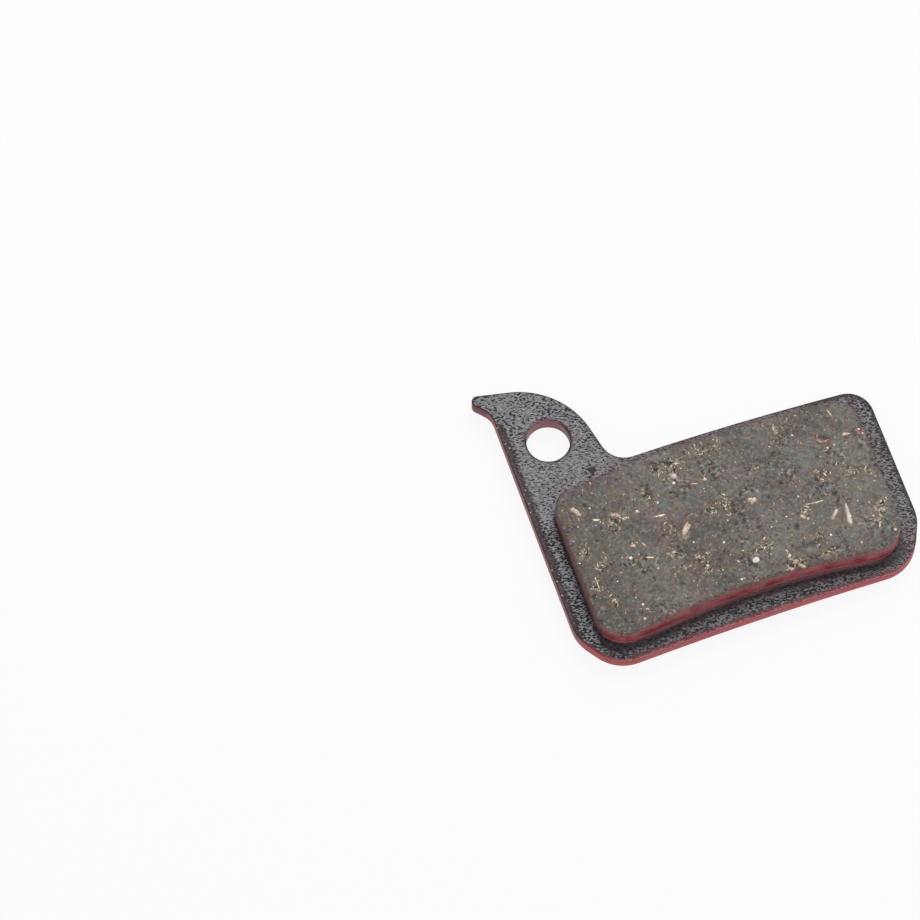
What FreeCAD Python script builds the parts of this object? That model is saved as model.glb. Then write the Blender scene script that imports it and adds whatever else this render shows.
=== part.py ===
import FreeCAD, Part
import os
import Sketcher

# A semi-metallic disc brake pad: a stamped steel backing plate and the friction block moulded on it.
# The origin is the centre of the pad-pin hole, on the plate's back face. +X runs along the pad, away
# from the hook, +Y points outwards past the pin, and +Z comes out of the friction face.

SIZES = [
    ("plate_thickness", 1.8, "steel sheet of the backing plate"),
    ("plate_length", 33.94, "straight tab side to straight far side"),
    ("tab_side", 4.12, "pin axis to the straight tab side"),
    ("neck_drop", 4.0, "pin axis down to the outer edge at the neck"),
    ("neck_reach", 5.04, "pin axis along to the neck"),
    ("outer_far_fall", 0.42, "far end of the outer edge under the neck"),
    ("inner_drop", 23.31, "pin axis down to the inner edge on the tab side"),
    ("inner_far_rise", 0.46, "far end of the inner edge over its tab end"),
    ("tab_cut_width", 2.65, "slanted inner corner on the tab side, along the pad"),
    ("tab_cut_height", 3.77, "slanted inner corner on the tab side, across the pad"),
    ("far_cut_width", 2.04, "slanted inner corner on the far side, along the pad"),
    ("far_cut_height", 4.49, "slanted inner corner on the far side, across the pad"),
    ("shoulder_reach", 3.01, "pin axis along to the tab's round shoulder"),
    ("shoulder_rise", 4.97, "pin axis up to the tab's round shoulder"),
    ("hook_overhang", 2.38, "hook's point past the tab side"),
    ("hook_tip_rise", 6.91, "pin axis up to the hook's point"),
    ("hook_root_rise", 4.35, "pin axis up to the root under the hook"),
    ("plate_outer_sweep", 295.0, "bulge of the plate's outer edge"),
    ("plate_inner_sweep", 357.0, "hollow of the plate's inner edge"),
    ("inner_corner_radius", 4.0, "bends at both slanted inner corners"),
    ("outer_corner_radius", 2.44, "outer corner on the far side"),
    ("neck_radius", 2.34, "hollow between the outer edge and the tab"),
    ("shoulder_radius", 7.67, "tab's round shoulder"),
    ("hook_tip_radius", 0.56, "hook's point"),
    ("hook_root_radius", 2.2, "hollow under the hook"),
    ("pin_hole_diameter", 4.1, "for a 4 mm pad pin"),
    ("die_roll", 0.45, "edges drawn round on the back by the stamping"),
    ("front_edge_break", 0.15, "edges tumbled on the front"),
    ("friction_height", 2.2, "compound above the plate"),
    ("friction_draft", 2.0, "lean of the compound's walls, in degrees"),
    ("side_margin", 2.0, "plate left bare at both ends of the compound"),
    ("neck_margin", 2.22, "compound's outer corner under the neck"),
    ("outer_margin", 1.39, "plate left bare at the far outer corner"),
    ("inner_margin", 1.11, "plate left bare at both inner corners"),
    ("friction_outer_sweep", 130.0, "bulge of the compound's outer edge"),
    ("friction_inner_sweep", 80.0, "hollow of the compound's inner edge"),
    ("friction_outer_radius", 2.1, "outer corners of the compound"),
    ("friction_inner_radius", 2.9, "inner corners of the compound"),
    ("keying_diameter", 5.1, "holes that key the compound to the plate"),
    ("keying_end_inset", 4.7, "keying holes in from the compound's ends"),
    ("keying_inner_inset", 4.62, "lower row in from the compound's inner corner"),
    ("keying_outer_inset", 3.65, "upper row in from the compound's outer corner"),
    ("plug_recess", 0.04, "compound's plugs short of the plate's back"),
]

# Corners of the plate's outline before rounding, as distances from the pin axis, in order round it.
# Its two long edges are shallow arcs, named by the corner that they start from.
FAR_SIDE = "Sizes.plate_length - Sizes.tab_side"
PLATE_CORNERS = {
    "tab_bend": ("-Sizes.tab_side", "Sizes.tab_cut_height - Sizes.inner_drop"),
    "tab_inner": ("Sizes.tab_cut_width - Sizes.tab_side", "-Sizes.inner_drop"),
    "far_inner": (f"{FAR_SIDE} - Sizes.far_cut_width", "Sizes.inner_far_rise - Sizes.inner_drop"),
    "far_bend": (FAR_SIDE, "Sizes.inner_far_rise + Sizes.far_cut_height - Sizes.inner_drop"),
    "far_outer": (FAR_SIDE, "-Sizes.neck_drop - Sizes.outer_far_fall"),
    "neck": ("Sizes.neck_reach", "-Sizes.neck_drop"),
    "shoulder": ("Sizes.shoulder_reach", "Sizes.shoulder_rise"),
    "hook_tip": ("-Sizes.tab_side - Sizes.hook_overhang", "Sizes.hook_tip_rise"),
    "hook_root": ("-Sizes.tab_side", "Sizes.hook_root_rise"),
}
PLATE_SWEEPS = {"tab_inner": "plate_inner_sweep", "far_outer": "plate_outer_sweep"}
PLATE_ROUNDS = [
    ("inner_corner_radius", ["tab_bend", "tab_inner", "far_inner", "far_bend"]),
    ("outer_corner_radius", ["far_outer"]),
    ("neck_radius", ["neck"]),
    ("shoulder_radius", ["shoulder"]),
    ("hook_root_radius", ["hook_root"]),
    ("hook_tip_radius", ["hook_tip"]),
]

# Corners of the compound's foot on the plate. Its two long edges are arcs, the inner one hollow.
FRICTION_TAB_END = "Sizes.side_margin - Sizes.tab_side"
FRICTION_FAR_END = f"{FAR_SIDE} - Sizes.side_margin"
FRICTION_INNER = "Sizes.inner_margin - Sizes.inner_drop"
FRICTION_OUTER = "-Sizes.neck_drop - Sizes.neck_margin"
FRICTION_CORNERS = {
    "tab_inner": (FRICTION_TAB_END, FRICTION_INNER),
    "far_inner": (FRICTION_FAR_END, f"Sizes.inner_far_rise + {FRICTION_INNER}"),
    "far_outer": (FRICTION_FAR_END, "-Sizes.neck_drop - Sizes.outer_far_fall - Sizes.outer_margin"),
    "tab_outer": (FRICTION_TAB_END, FRICTION_OUTER),
}
FRICTION_SWEEPS = {"tab_inner": "friction_inner_sweep", "far_outer": "friction_outer_sweep"}
FRICTION_ROUNDS = [
    ("friction_outer_radius", ["far_outer", "tab_outer"]),
    ("friction_inner_radius", ["tab_inner", "far_inner"]),
]

# First keying hole and the steps to its neighbours. Plate and compound share them.
KEYING_X = f"{FRICTION_TAB_END} + Sizes.keying_end_inset"
KEYING_Y = f"{FRICTION_INNER} + Sizes.keying_inner_inset"
KEYING_STEP_X = f"{FRICTION_FAR_END} - Sizes.keying_end_inset - ({KEYING_X})"
KEYING_STEP_Y = f"{FRICTION_OUTER} - Sizes.keying_outer_inset - ({KEYING_Y})"

NEAR = 1e-4
ORIGIN = -1
START, END, CENTRE = 1, 2, 3


def fill_sheet(doc):
    """Spreadsheet of the driving dimensions: name, size and meaning."""
    sheet = doc.addObject("Spreadsheet::Sheet", "Sizes")
    for row, (alias, size, meaning) in enumerate(SIZES, 1):
        sheet.set(f"A{row}", alias)
        sheet.set(f"B{row}", str(size))
        sheet.setAlias(f"B{row}", alias)
        sheet.set(f"C{row}", meaning)
    doc.recompute()


def new_sketch(body, name, height=None):
    """Sketch on the body's XY plane, raised by an expression if one is given."""
    sketch = body.newObject("Sketcher::SketchObject", name)
    plane = next(item for item in body.Origin.OriginFeatures if item.Role == "XY_Plane")
    sketch.AttachmentSupport = [(plane, "")]
    sketch.MapMode = "FlatFace"
    if height:
        sketch.setExpression("AttachmentOffset.Base.z", height)
    return sketch


def corner_point(sketch, corner):
    """A corner's place as its two expressions give it."""
    x, y = corner
    return FreeCAD.Vector(float(sketch.evalExpression(x)), float(sketch.evalExpression(y)), 0)


def bind(sketch, constraint, expression):
    """Adds a constraint and ties its value to the sheet."""
    index = sketch.addConstraint(constraint)
    sketch.setExpression(f"Constraints[{index}]", expression)


def fix_point(sketch, edge, end, point, corner):
    """Ties an end of an edge to its distances from the pin axis."""
    x, y = corner
    bind(sketch, Sketcher.Constraint("DistanceX", ORIGIN, START, edge, end, point.x), x)
    bind(sketch, Sketcher.Constraint("DistanceY", ORIGIN, START, edge, end, point.y), y)


def add_sweep(sketch, first, last, radius):
    """Arc that bulges outwards over two corners; returns its index and which of its ends is first."""
    right, left = sorted((first, last), key=lambda point: -point.x)
    size = float(sketch.evalExpression(f"Sizes.{radius}"))
    half = (right - left).Length / 2
    across = FreeCAD.Vector(right.y - left.y, left.x - right.x, 0).normalize()
    peak = (right + left) / 2 - across * (size - (size ** 2 - half ** 2) ** 0.5)
    edge = sketch.addGeometry(Part.Arc(right, peak, left))
    bind(sketch, Sketcher.Constraint("Radius", edge, size), f"Sizes.{radius}")
    ends = (START, END) if first == right else (END, START)
    return edge, *ends


def draw_outline(sketch, corners, sweeps):
    """Closed outline through the corners, straight but for the edges that are sweeps."""
    names = list(corners)
    points = [corner_point(sketch, corners[name]) for name in names]
    edges = []
    for name, first, last in zip(names, points, points[1:] + points[:1]):
        if name in sweeps:
            edges.append(add_sweep(sketch, first, last, sweeps[name]))
        else:
            edges.append((sketch.addGeometry(Part.LineSegment(first, last)), START, END))
    for index, (edge, start, _) in enumerate(edges):
        before, _, end_before = edges[index - 1]
        sketch.addConstraint(Sketcher.Constraint("Coincident", before, end_before, edge, start))
        fix_point(sketch, edge, start, points[index], corners[names[index]])


def draw_circle(sketch, corner, diameter):
    """One circle about a place given by two expressions."""
    centre = corner_point(sketch, corner)
    size = float(sketch.evalExpression(diameter))
    edge = sketch.addGeometry(Part.Circle(centre, FreeCAD.Vector(0, 0, 1), size / 2))
    bind(sketch, Sketcher.Constraint("Diameter", edge, size), diameter)
    fix_point(sketch, edge, CENTRE, centre, corner)


def add_feature(body, kind, name, profile, **lengths):
    """Pad or pocket of a sketch, with its lengths tied to the sheet."""
    feature = body.newObject(f"PartDesign::{kind}", name)
    feature.Profile = profile
    for prop, expression in lengths.items():
        feature.setExpression(prop, expression)
    return feature


def standing_edge(shape, point):
    """Name of the edge that stands on the outline's corner at a point."""
    for index, edge in enumerate(shape.Edges, 1):
        low, high = sorted((edge.Vertexes[0], edge.Vertexes[-1]), key=lambda vertex: vertex.Z)
        if low.Point.distanceToPoint(point) < NEAR and high.Z - low.Z > NEAR:
            return f"Edge{index}"
    raise ValueError(f"no edge stands on the corner at {point}")


def level_edges(shape, height):
    """Names of all edges that lie flat at a height."""
    names = []
    for index, edge in enumerate(shape.Edges, 1):
        box = edge.BoundBox
        if abs(box.ZMin - height) < NEAR and abs(box.ZMax - height) < NEAR:
            names.append(f"Edge{index}")
    return names


def add_fillet(body, base, edges, radius):
    """Fillet of the named edges of the last feature."""
    fillet = body.newObject("PartDesign::Fillet", radius)
    fillet.Base = (base, edges)
    fillet.setExpression("Radius", f"Sizes.{radius}")
    body.Document.recompute()
    return fillet


def round_corners(body, feature, sketch, corners, rounds):
    """Rounds the standing edges of an extruded outline, one radius at a time."""
    body.Document.recompute()
    for radius, names in rounds:
        points = [corner_point(sketch, corners[name]) for name in names]
        edges = [standing_edge(feature.Shape, point) for point in points]
        feature = add_fillet(body, feature, edges, radius)
    return feature


def repeat_keying(body, feature):
    """Two by two pattern of a keying hole or plug, along the pad and across it."""
    axes = {item.Role: item for item in body.Origin.OriginFeatures}
    pattern = body.newObject("PartDesign::LinearPattern", "KeyingPattern")
    pattern.Originals = [feature]
    pattern.Direction = (axes["X_Axis"], [""])
    pattern.Direction2 = (axes["Y_Axis"], [""])
    pattern.Occurrences = 2
    pattern.Occurrences2 = 2
    pattern.setExpression("Length", KEYING_STEP_X)
    pattern.setExpression("Length2", KEYING_STEP_Y)
    body.Tip = pattern
    return pattern


def make_backing_plate(doc):
    """Flat stamping: hooked tab, pin hole, back edges drawn round, front edges broken, keying holes."""
    body = doc.addObject("PartDesign::Body", "BackingPlate")
    body.Label = "backing_plate"
    outline = new_sketch(body, "PlateOutline")
    draw_outline(outline, PLATE_CORNERS, PLATE_SWEEPS)
    blank = add_feature(body, "Pad", "Blank", outline, Length="Sizes.plate_thickness")
    cornered = round_corners(body, blank, outline, PLATE_CORNERS, PLATE_ROUNDS)

    pin = new_sketch(body, "PinCircle")
    draw_circle(pin, ("0", "0"), "Sizes.pin_hole_diameter")
    pin_hole = add_feature(body, "Pocket", "PinHole", pin, Length="Sizes.plate_thickness")
    pin_hole.Reversed = True
    doc.recompute()
    check_cut(cornered, pin_hole)

    rolled = add_fillet(body, pin_hole, level_edges(pin_hole.Shape, 0), "die_roll")
    front = float(outline.evalExpression("Sizes.plate_thickness"))
    add_fillet(body, rolled, level_edges(rolled.Shape, front), "front_edge_break")

    keying = new_sketch(body, "KeyingCircle")
    draw_circle(keying, (KEYING_X, KEYING_Y), "Sizes.keying_diameter")
    keying_hole = add_feature(body, "Pocket", "KeyingHole", keying, Length="Sizes.plate_thickness")
    keying_hole.Reversed = True
    holes = repeat_keying(body, keying_hole)
    doc.recompute()
    check_cut(keying_hole, holes)
    return body


def make_friction_block(doc):
    """Moulded compound: drafted walls, arc-shaped long edges and plugs down through the keying holes."""
    body = doc.addObject("PartDesign::Body", "FrictionBlock")
    body.Label = "friction_block"
    body.setExpression("Placement.Base.z", "Sizes.plate_thickness")
    foot = new_sketch(body, "FrictionFoot")
    draw_outline(foot, FRICTION_CORNERS, FRICTION_SWEEPS)
    block = add_feature(body, "Pad", "Block", foot, Length="Sizes.friction_height",
                        TaperAngle="-Sizes.friction_draft")
    round_corners(body, block, foot, FRICTION_CORNERS, FRICTION_ROUNDS)

    keying = new_sketch(body, "PlugCircle", "Sizes.plug_recess - Sizes.plate_thickness")
    draw_circle(keying, (KEYING_X, KEYING_Y), "Sizes.keying_diameter")
    plug = add_feature(body, "Pad", "Plug", keying, Length="Sizes.plate_thickness - Sizes.plug_recess")
    repeat_keying(body, plug)
    doc.recompute()
    return body


def check_cut(before, after):
    """A cut that points away from the solid takes nothing off it."""
    if after.Shape.Volume > before.Shape.Volume - NEAR:
        raise ValueError(f"{after.Name} cuts nothing")


def check_document(doc, bodies):
    """Every object recomputed and every sub-part one valid solid."""
    for item in doc.Objects:
        if {"Invalid", "Error"} & set(item.State):
            raise ValueError(f"{item.Name} failed: {item.State}")
    for body in bodies:
        if body.Shape.isNull() or not body.Shape.isValid() or len(body.Shape.Solids) != 1:
            raise ValueError(f"{body.Label} is not one valid solid")


doc = FreeCAD.newDocument("BrakePad")
fill_sheet(doc)
bodies = [make_backing_plate(doc), make_friction_block(doc)]
doc.recompute()
check_document(doc, bodies)
os.makedirs("parts", exist_ok=True)
for body in bodies:
    body.Shape.exportStep(f"parts/{body.Label}.step")
    print(body.Label, f"{body.Shape.Volume:.1f} mm3")
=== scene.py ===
import math
import random
from functools import partial
import bpy
import numpy as np
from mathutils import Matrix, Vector, geometry, kdtree, noise


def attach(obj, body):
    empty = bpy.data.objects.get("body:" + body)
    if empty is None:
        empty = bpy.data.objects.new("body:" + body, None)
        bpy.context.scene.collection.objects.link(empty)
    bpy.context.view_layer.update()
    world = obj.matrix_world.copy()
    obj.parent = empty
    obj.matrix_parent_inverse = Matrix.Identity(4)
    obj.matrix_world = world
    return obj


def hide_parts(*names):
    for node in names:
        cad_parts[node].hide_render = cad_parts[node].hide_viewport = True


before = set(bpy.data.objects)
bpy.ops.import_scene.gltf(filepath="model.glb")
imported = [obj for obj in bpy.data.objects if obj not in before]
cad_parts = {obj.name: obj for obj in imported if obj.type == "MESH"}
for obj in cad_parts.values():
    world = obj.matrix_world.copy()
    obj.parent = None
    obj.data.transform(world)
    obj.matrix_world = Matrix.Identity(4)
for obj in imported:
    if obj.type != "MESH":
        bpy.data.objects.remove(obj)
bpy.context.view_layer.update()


# Backing plate
# A steel stamping with a hooked tab and a hole for the pad pin. It is dipped in a speckled grey coat,
# then its back and edges are sprayed red, and the two finishes meet in a dark line round the rim.
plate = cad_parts["backing_plate"]
plate_left = -4.12
plate_right = 29.82
plate_front = 1.8
plate_inner_ends = (-23.31, -22.85)
plate_inner_sweep = 357.0
plate_outer_ends = (-4.00, -4.42)
plate_outer_sweep = 295.0
plate_neck = (5.04, -4.00)
plate_neck_round = 2.34
plate_shoulder = (3.01, 4.97)
plate_shoulder_round = 7.67
plate_hook_tip = (-6.50, 6.91)
far_outer_corner = 2.44
tab_corner_cut = (2.65, 3.77)
far_corner_cut = (2.04, 4.49)
pin_hole_radius = 2.05
block_left = -2.12
block_right = 27.82
block_inner_ends = (-22.20, -21.74)
block_outer_ends = (-6.22, -5.81)
block_inner_sweep = 80.0
block_outer_sweep = 130.0
block_inner_corner = 2.9
block_outer_corner = 2.1
coat_grain = -18.0
spray_from = (-0.365, -0.931)
smudge_point = (2.84, -4.72)
smudge_slope = 0.55
smudge_top = -3.80


def paint(red, green, blue):
    """Linear colour of a paint given in sRGB steps of 255."""
    steps = [c / 255 for c in (red, green, blue)]
    linear = [c / 12.92 if c <= 0.04045 else ((c + 0.055) / 1.055) ** 2.4 for c in steps]
    return (*linear, 1.0)


def feed(socket, value):
    """Links an output to a socket, or writes a plain value on it."""
    if isinstance(value, bpy.types.NodeSocket):
        socket.id_data.links.new(value, socket)
    else:
        socket.default_value = value


def add_node(kind, *values):
    """New shader node, in the tree of the first output among the values."""
    output = next(value for value in values if isinstance(value, bpy.types.NodeSocket))
    return output.id_data.nodes.new(kind)


def calc(operation, *values):
    """Output of one Math node."""
    node = add_node("ShaderNodeMath", *values)
    node.operation = operation
    for socket, value in zip(node.inputs, values):
        feed(socket, value)
    return node.outputs[0]


# The last of these takes a value, its factor and what is added to their product.
plus = partial(calc, "ADD")
minus = partial(calc, "SUBTRACT")
larger = partial(calc, "MAXIMUM")
smaller = partial(calc, "MINIMUM")
scaled = partial(calc, "MULTIPLY_ADD")


def times(first, *others):
    """Product of masks and shares."""
    for value in others:
        first = calc("MULTIPLY", first, value)
    return first


def ramp(value, start, end):
    """Smooth mask that rises from 0 at start to 1 at end."""
    node = add_node("ShaderNodeMapRange", value)
    node.interpolation_type = "SMOOTHSTEP"
    feed(node.inputs["Value"], value)
    node.inputs["From Min"].default_value = start
    node.inputs["From Max"].default_value = end
    return node.outputs["Result"]


def mix(amount, first, second):
    """Colour that goes from first to second."""
    node = add_node("ShaderNodeMix", amount)
    node.data_type = "RGBA"
    feed(node.inputs[0], amount)
    feed(node.inputs[6], first)
    feed(node.inputs[7], second)
    return node.outputs[2]


def layered(colour, layers):
    """Colour under layers of others, each given as its mask, its greatest share and its colour."""
    for mask, share, shade in layers:
        colour = mix(times(mask, share), colour, shade)
    return colour


def mottle(vector, scale, seed, detail=2.0):
    """Soft noise in 0 to 1, with about scale patches to the millimetre."""
    node = add_node("ShaderNodeTexNoise", vector)
    node.noise_dimensions = "4D"
    feed(node.inputs["Vector"], vector)
    node.inputs["W"].default_value = seed
    node.inputs["Scale"].default_value = scale
    node.inputs["Detail"].default_value = detail
    return node.outputs["Fac"]


def stretched(vector, angle, lengthways, crossways):
    """Position for grain that runs at an angle in plan, with so many patches to the millimetre."""
    node = add_node("ShaderNodeMapping", vector)
    node.vector_type = "TEXTURE"
    feed(node.inputs["Vector"], vector)
    node.inputs["Rotation"].default_value = (0.0, 0.0, math.radians(angle))
    node.inputs["Scale"].default_value = (1 / lengthways, 1 / crossways, 1 / crossways)
    return node.outputs[0]


def split(vector):
    """The x, y and z outputs of a vector."""
    node = add_node("ShaderNodeSeparateXYZ", vector)
    feed(node.inputs[0], vector)
    return node.outputs


def millimetres(tree):
    """Place on the pad in millimetres."""
    in_metres = tree.nodes.new("ShaderNodeTexCoord")
    node = tree.nodes.new("ShaderNodeVectorMath")
    node.operation = "SCALE"
    feed(node.inputs[0], in_metres.outputs["Object"])
    node.inputs["Scale"].default_value = 1000.0
    return node.outputs[0]


def facing(tree):
    """The x, y and z of the bare surface normal."""
    node = tree.nodes.new("ShaderNodeNewGeometry")
    return split(node.outputs["True Normal"])


def sweep_centre(ends, left, right, radius):
    """Centre of the long edge's arc, which bulges towards +Y over the two side lines."""
    run = right - left
    rise = ends[1] - ends[0]
    chord = math.hypot(run, rise)
    reach = math.sqrt(radius ** 2 - chord ** 2 / 4)
    return (left + right) / 2 + rise / chord * reach, sum(ends) / 2 - run / chord * reach


def diagonal(run, rise):
    """Length of the slope of a run and a rise."""
    return calc("SQRT", plus(times(run, run), times(rise, rise)))


def radius_from(x, y, centre):
    """Distance in plan from a fixed point."""
    return diagonal(minus(x, centre[0]), minus(y, centre[1]))


def past_corner(first, second):
    """Reach past the centre of a corner's round, from the reach past it square to each side."""
    outside = diagonal(larger(first, 0.0), larger(second, 0.0))
    return plus(outside, smaller(larger(first, second), 0.0))


def new_group(name, outputs):
    """Shader group with a Position input; returns the tree, the position and the output sockets."""
    tree = bpy.data.node_groups.new(name, "ShaderNodeTree")
    tree.interface.new_socket(name="Position", in_out="INPUT", socket_type="NodeSocketVector")
    for label, kind in outputs:
        tree.interface.new_socket(name=label, in_out="OUTPUT", socket_type=kind)
    return tree, tree.nodes.new("NodeGroupInput").outputs[0], tree.nodes.new("NodeGroupOutput").inputs


def place(group, position):
    """Puts a group in a material; returns its outputs."""
    node = add_node("ShaderNodeGroup", position)
    node.node_tree = group
    feed(node.inputs["Position"], position)
    return node.outputs


def new_material(name):
    """Material with a bare Principled shader; returns the material, its tree and the shader's inputs."""
    material = bpy.data.materials.new(name)
    material.use_nodes = True
    return material, material.node_tree, material.node_tree.nodes["Principled BSDF"].inputs


def relief(height, depth):
    """Normal of a bumpy surface; depth is in metres."""
    node = add_node("ShaderNodeBump", height)
    feed(node.inputs["Height"], height)
    node.inputs["Distance"].default_value = depth
    return node.outputs[0]


foot_distance, spot, out = new_group("foot_distance", [("Distance", "NodeSocketFloat")])
x, y = split(spot)[:2]
outer_centre = sweep_centre(block_outer_ends, block_left, block_right, block_outer_sweep)
inner_centre = sweep_centre(block_inner_ends, block_left, block_right, block_inner_sweep)
past_side = larger(minus(block_left, x), minus(x, block_right))
past_outer = minus(radius_from(x, y, outer_centre), block_outer_sweep)
past_inner = minus(block_inner_sweep, radius_from(x, y, inner_centre))
by_inner_edge = calc("GREATER_THAN", past_inner, past_outer)
corner = plus(times(by_inner_edge, block_inner_corner - block_outer_corner), block_outer_corner)
long_reach = plus(larger(past_outer, past_inner), corner)
feed(out["Distance"], minus(past_corner(plus(past_side, corner), long_reach), corner))

red_paint, spot, out = new_group("red_paint", [("Color", "NodeSocketColor"), ("Roughness", "NodeSocketFloat"),
                                               ("Height", "NodeSocketFloat")])
thin_patches = ramp(mottle(spot, 0.35, 1.0), 0.35, 0.75)
dark_dots = ramp(mottle(spot, 5.5, 2.0, 0.0), 0.73, 0.80)
peel = mottle(spot, 1.7, 3.0, 1.0)
sprayed = mix(thin_patches, paint(178, 64, 72), paint(186, 74, 81))
feed(out["Color"], mix(times(dark_dots, 0.7), sprayed, paint(92, 26, 34)))
feed(out["Roughness"], scaled(peel, 0.16, 0.36))
feed(out["Height"], minus(peel, dark_dots))


def rounded(first, second, radius):
    """Distance inside a square corner, from the distances inside its two sides and the corner's round."""
    return minus(radius, past_corner(minus(radius, first), minus(radius, second)))


def corner_line(x, y, side, foot, cut, inward):
    """Distance inside the slanting line that cuts off one inner corner of the plate."""
    slant = math.hypot(*cut)
    sideways = times(minus(x, side), inward * cut[1] / slant)
    upwards = times(minus(y, foot + cut[1]), cut[0] / slant)
    return plus(sideways, upwards)


def inside_line(x, y, start, heading):
    """Distance to the left of a line in plan, from a point on it and its unit heading."""
    upwards = times(minus(y, start[1]), heading[0])
    return scaled(minus(x, start[0]), -heading[1], upwards)


def bent_edge(x, y, corner, arriving, leaving, radius, first, second):
    """Distance inside an edge that turns a rounded corner, from the distances inside its two runs."""
    turn = arriving[0] * leaving[1] - arriving[1] * leaving[0]
    side = math.copysign(1.0, turn)
    reach = radius * math.tan(math.acos(arriving[0] * leaving[0] + arriving[1] * leaving[1]) / 2)
    centre = (corner[0] - arriving[0] * reach - arriving[1] * radius * side,
              corner[1] - arriving[1] * reach + arriving[0] * radius * side)
    past_first = inside_line(x, y, centre, (arriving[1], -arriving[0]))
    past_second = inside_line(x, y, centre, (-leaving[1], leaving[0]))
    in_corner = calc("GREATER_THAN", smaller(past_first, past_second), 0.0)
    curved = times(minus(radius, radius_from(x, y, centre)), side)
    plain = smaller(first, second) if side > 0 else larger(first, second)
    return scaled(in_corner, minus(curved, plain), plain)


plate_finish, tree, shader = new_material("plate_finish")
spot = millimetres(tree)
x, y, z = split(spot)
nx, ny, nz = facing(tree)
from_foot = place(foot_distance, spot)["Distance"]
red = place(red_paint, spot)
near_side = ramp(y, -19.5, -22.0)
blotch = mottle(spot, 0.5, 4.0)
coarse_fleck = mottle(stretched(spot, coat_grain, 3.6, 8.2), 1.0, 5.0)
fine_fleck = mottle(stretched(spot, coat_grain, 4.4, 8.6), 1.0, 21.0)
fleck = scaled(near_side, minus(fine_fleck, coarse_fleck), coarse_fleck)
sheen = mottle(stretched(spot, coat_grain, 2.8, 4.4), 1.0, 6.0, 3.0)

outer_rim_centre = sweep_centre(plate_outer_ends, plate_neck[0], plate_right, plate_outer_sweep)
inner_rim_centre = sweep_centre(plate_inner_ends, plate_left, plate_right, plate_inner_sweep)
hook_clear = times(ramp(y, 2.8, 4.2), 2.0)
rim_left = plus(minus(x, plate_left), hook_clear)
rim_outer = minus(plate_outer_sweep, radius_from(x, y, outer_rim_centre))
rim_right = rounded(minus(plate_right, x), rim_outer, far_outer_corner)
neck_line = (Vector(plate_shoulder) - Vector(plate_neck)).normalized()
hook_line = (Vector(plate_hook_tip) - Vector(plate_shoulder)).normalized()
sweep_line = (Vector(plate_neck) - Vector(outer_rim_centre)).orthogonal().normalized()
rim_neck = inside_line(x, y, plate_neck, neck_line)
rim_hook = inside_line(x, y, plate_shoulder, hook_line)
rim_tab = bent_edge(x, y, plate_shoulder, neck_line, hook_line, plate_shoulder_round, rim_neck, rim_hook)
rim_far = bent_edge(x, y, plate_neck, sweep_line, neck_line, plate_neck_round, rim_right, rim_tab)
rim_inner = minus(radius_from(x, y, inner_rim_centre), plate_inner_sweep)
rim_tab_corner = corner_line(x, y, plate_left, plate_inner_ends[0], tab_corner_cut, 1.0)
rim_far_corner = corner_line(x, y, plate_right, plate_inner_ends[1], far_corner_cut, -1.0)
from_wrap = smaller(smaller(rim_left, rim_inner), smaller(rim_tab_corner, rim_far_corner))
from_pin = minus(radius_from(x, y, (0.0, 0.0)), pin_hole_radius)

left_side = times(ramp(x, -1.5, -2.3), ramp(y, -5.5, -9.0))
right_side = ramp(x, 27.0, 28.2)
far_side = times(ramp(y, -7.0, -6.0), ramp(x, 3.5, 7.0))
near_rim = ramp(rim_far, 0.75, 0.1)
tab_foot = times(ramp(y, -1.2, -3.0), ramp(y, -9.0, -5.5))
crowding = scaled(blotch, 0.12, -0.042)
for share, side_mask in ((0.046, near_side), (0.040, left_side), (0.032, right_side), (0.03, far_side),
                         (0.04, near_rim), (-0.024, tab_foot)):
    crowding = scaled(side_mask, share, crowding)
dark_fleck = ramp(minus(fleck, crowding), 0.464, 0.420)
grey = layered(mix(ramp(sheen, 0.28, 0.72), paint(106, 104, 107), paint(156, 154, 157)), [
    (near_side, 0.6, paint(122, 121, 124)),
    (left_side, 0.8, paint(168, 172, 177))])
rust = times(far_side, ramp(mottle(spot, 2.2, 23.0), 0.50, 0.62))
rim_line = ramp(scaled(fleck, 0.3, rim_far), 0.37, 0.23)
warm_share = scaled(right_side, 0.32, times(far_side, 0.75))
warm_share = scaled(near_side, 0.2, warm_share)
# Dark strip on the coat round the foot of the block: a black bond line, with painted shadow cast by the
# walls; widest on the near side, away from the lamp, and faint on the far side
near_strip = scaled(ramp(x, -1.5, 3.5), 0.36, 0.38)
strip_width = scaled(near_side, near_strip, 0.22)
strip_width = scaled(left_side, 0.08, strip_width)
strip_width = plus(strip_width, scaled(blotch, 0.5, -0.25))
strip_width = plus(strip_width, scaled(fleck, -1.4, 0.64))
bond_line_and_shadow = ramp(minus(from_foot, strip_width), 0.16, -0.08)
strip_pale = mix(left_side, paint(86, 79, 82), paint(58, 49, 52))
strip_colour = mix(ramp(sheen, 0.36, 0.66), paint(34, 30, 32), strip_pale)
foot_run = times(ramp(x, -0.5, 5.0), ramp(x, 26.2, 23.0))
foot_red = times(ramp(from_foot, 0.37, 0.02), near_side, foot_run)
smudge_side = minus(scaled(y, smudge_slope, -smudge_slope * smudge_point[1]),
                    calc("ABSOLUTE", minus(x, smudge_point[0])))
smudge = ramp(smaller(minus(smudge_top, y), smudge_side), -0.03, 0.05)
left_rim = ramp(scaled(blotch, 0.5, scaled(fleck, 1.8, rim_left)), 2.14, 1.80)
left_rim_colour = mix(ramp(rim_left, 0.45, 0.2), paint(38, 31, 30), paint(78, 46, 49))
right_rim = times(ramp(scaled(fleck, 1.1, rim_right), 1.14, 0.84), ramp(x, 22.0, 26.0))
wrap = times(ramp(scaled(fleck, 0.5, from_wrap), 0.64, 0.30), ramp(rim_left, 0.3, 1.0))
hole_ring = ramp(scaled(fleck, 0.5, from_pin), 0.62, 0.40)
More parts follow.
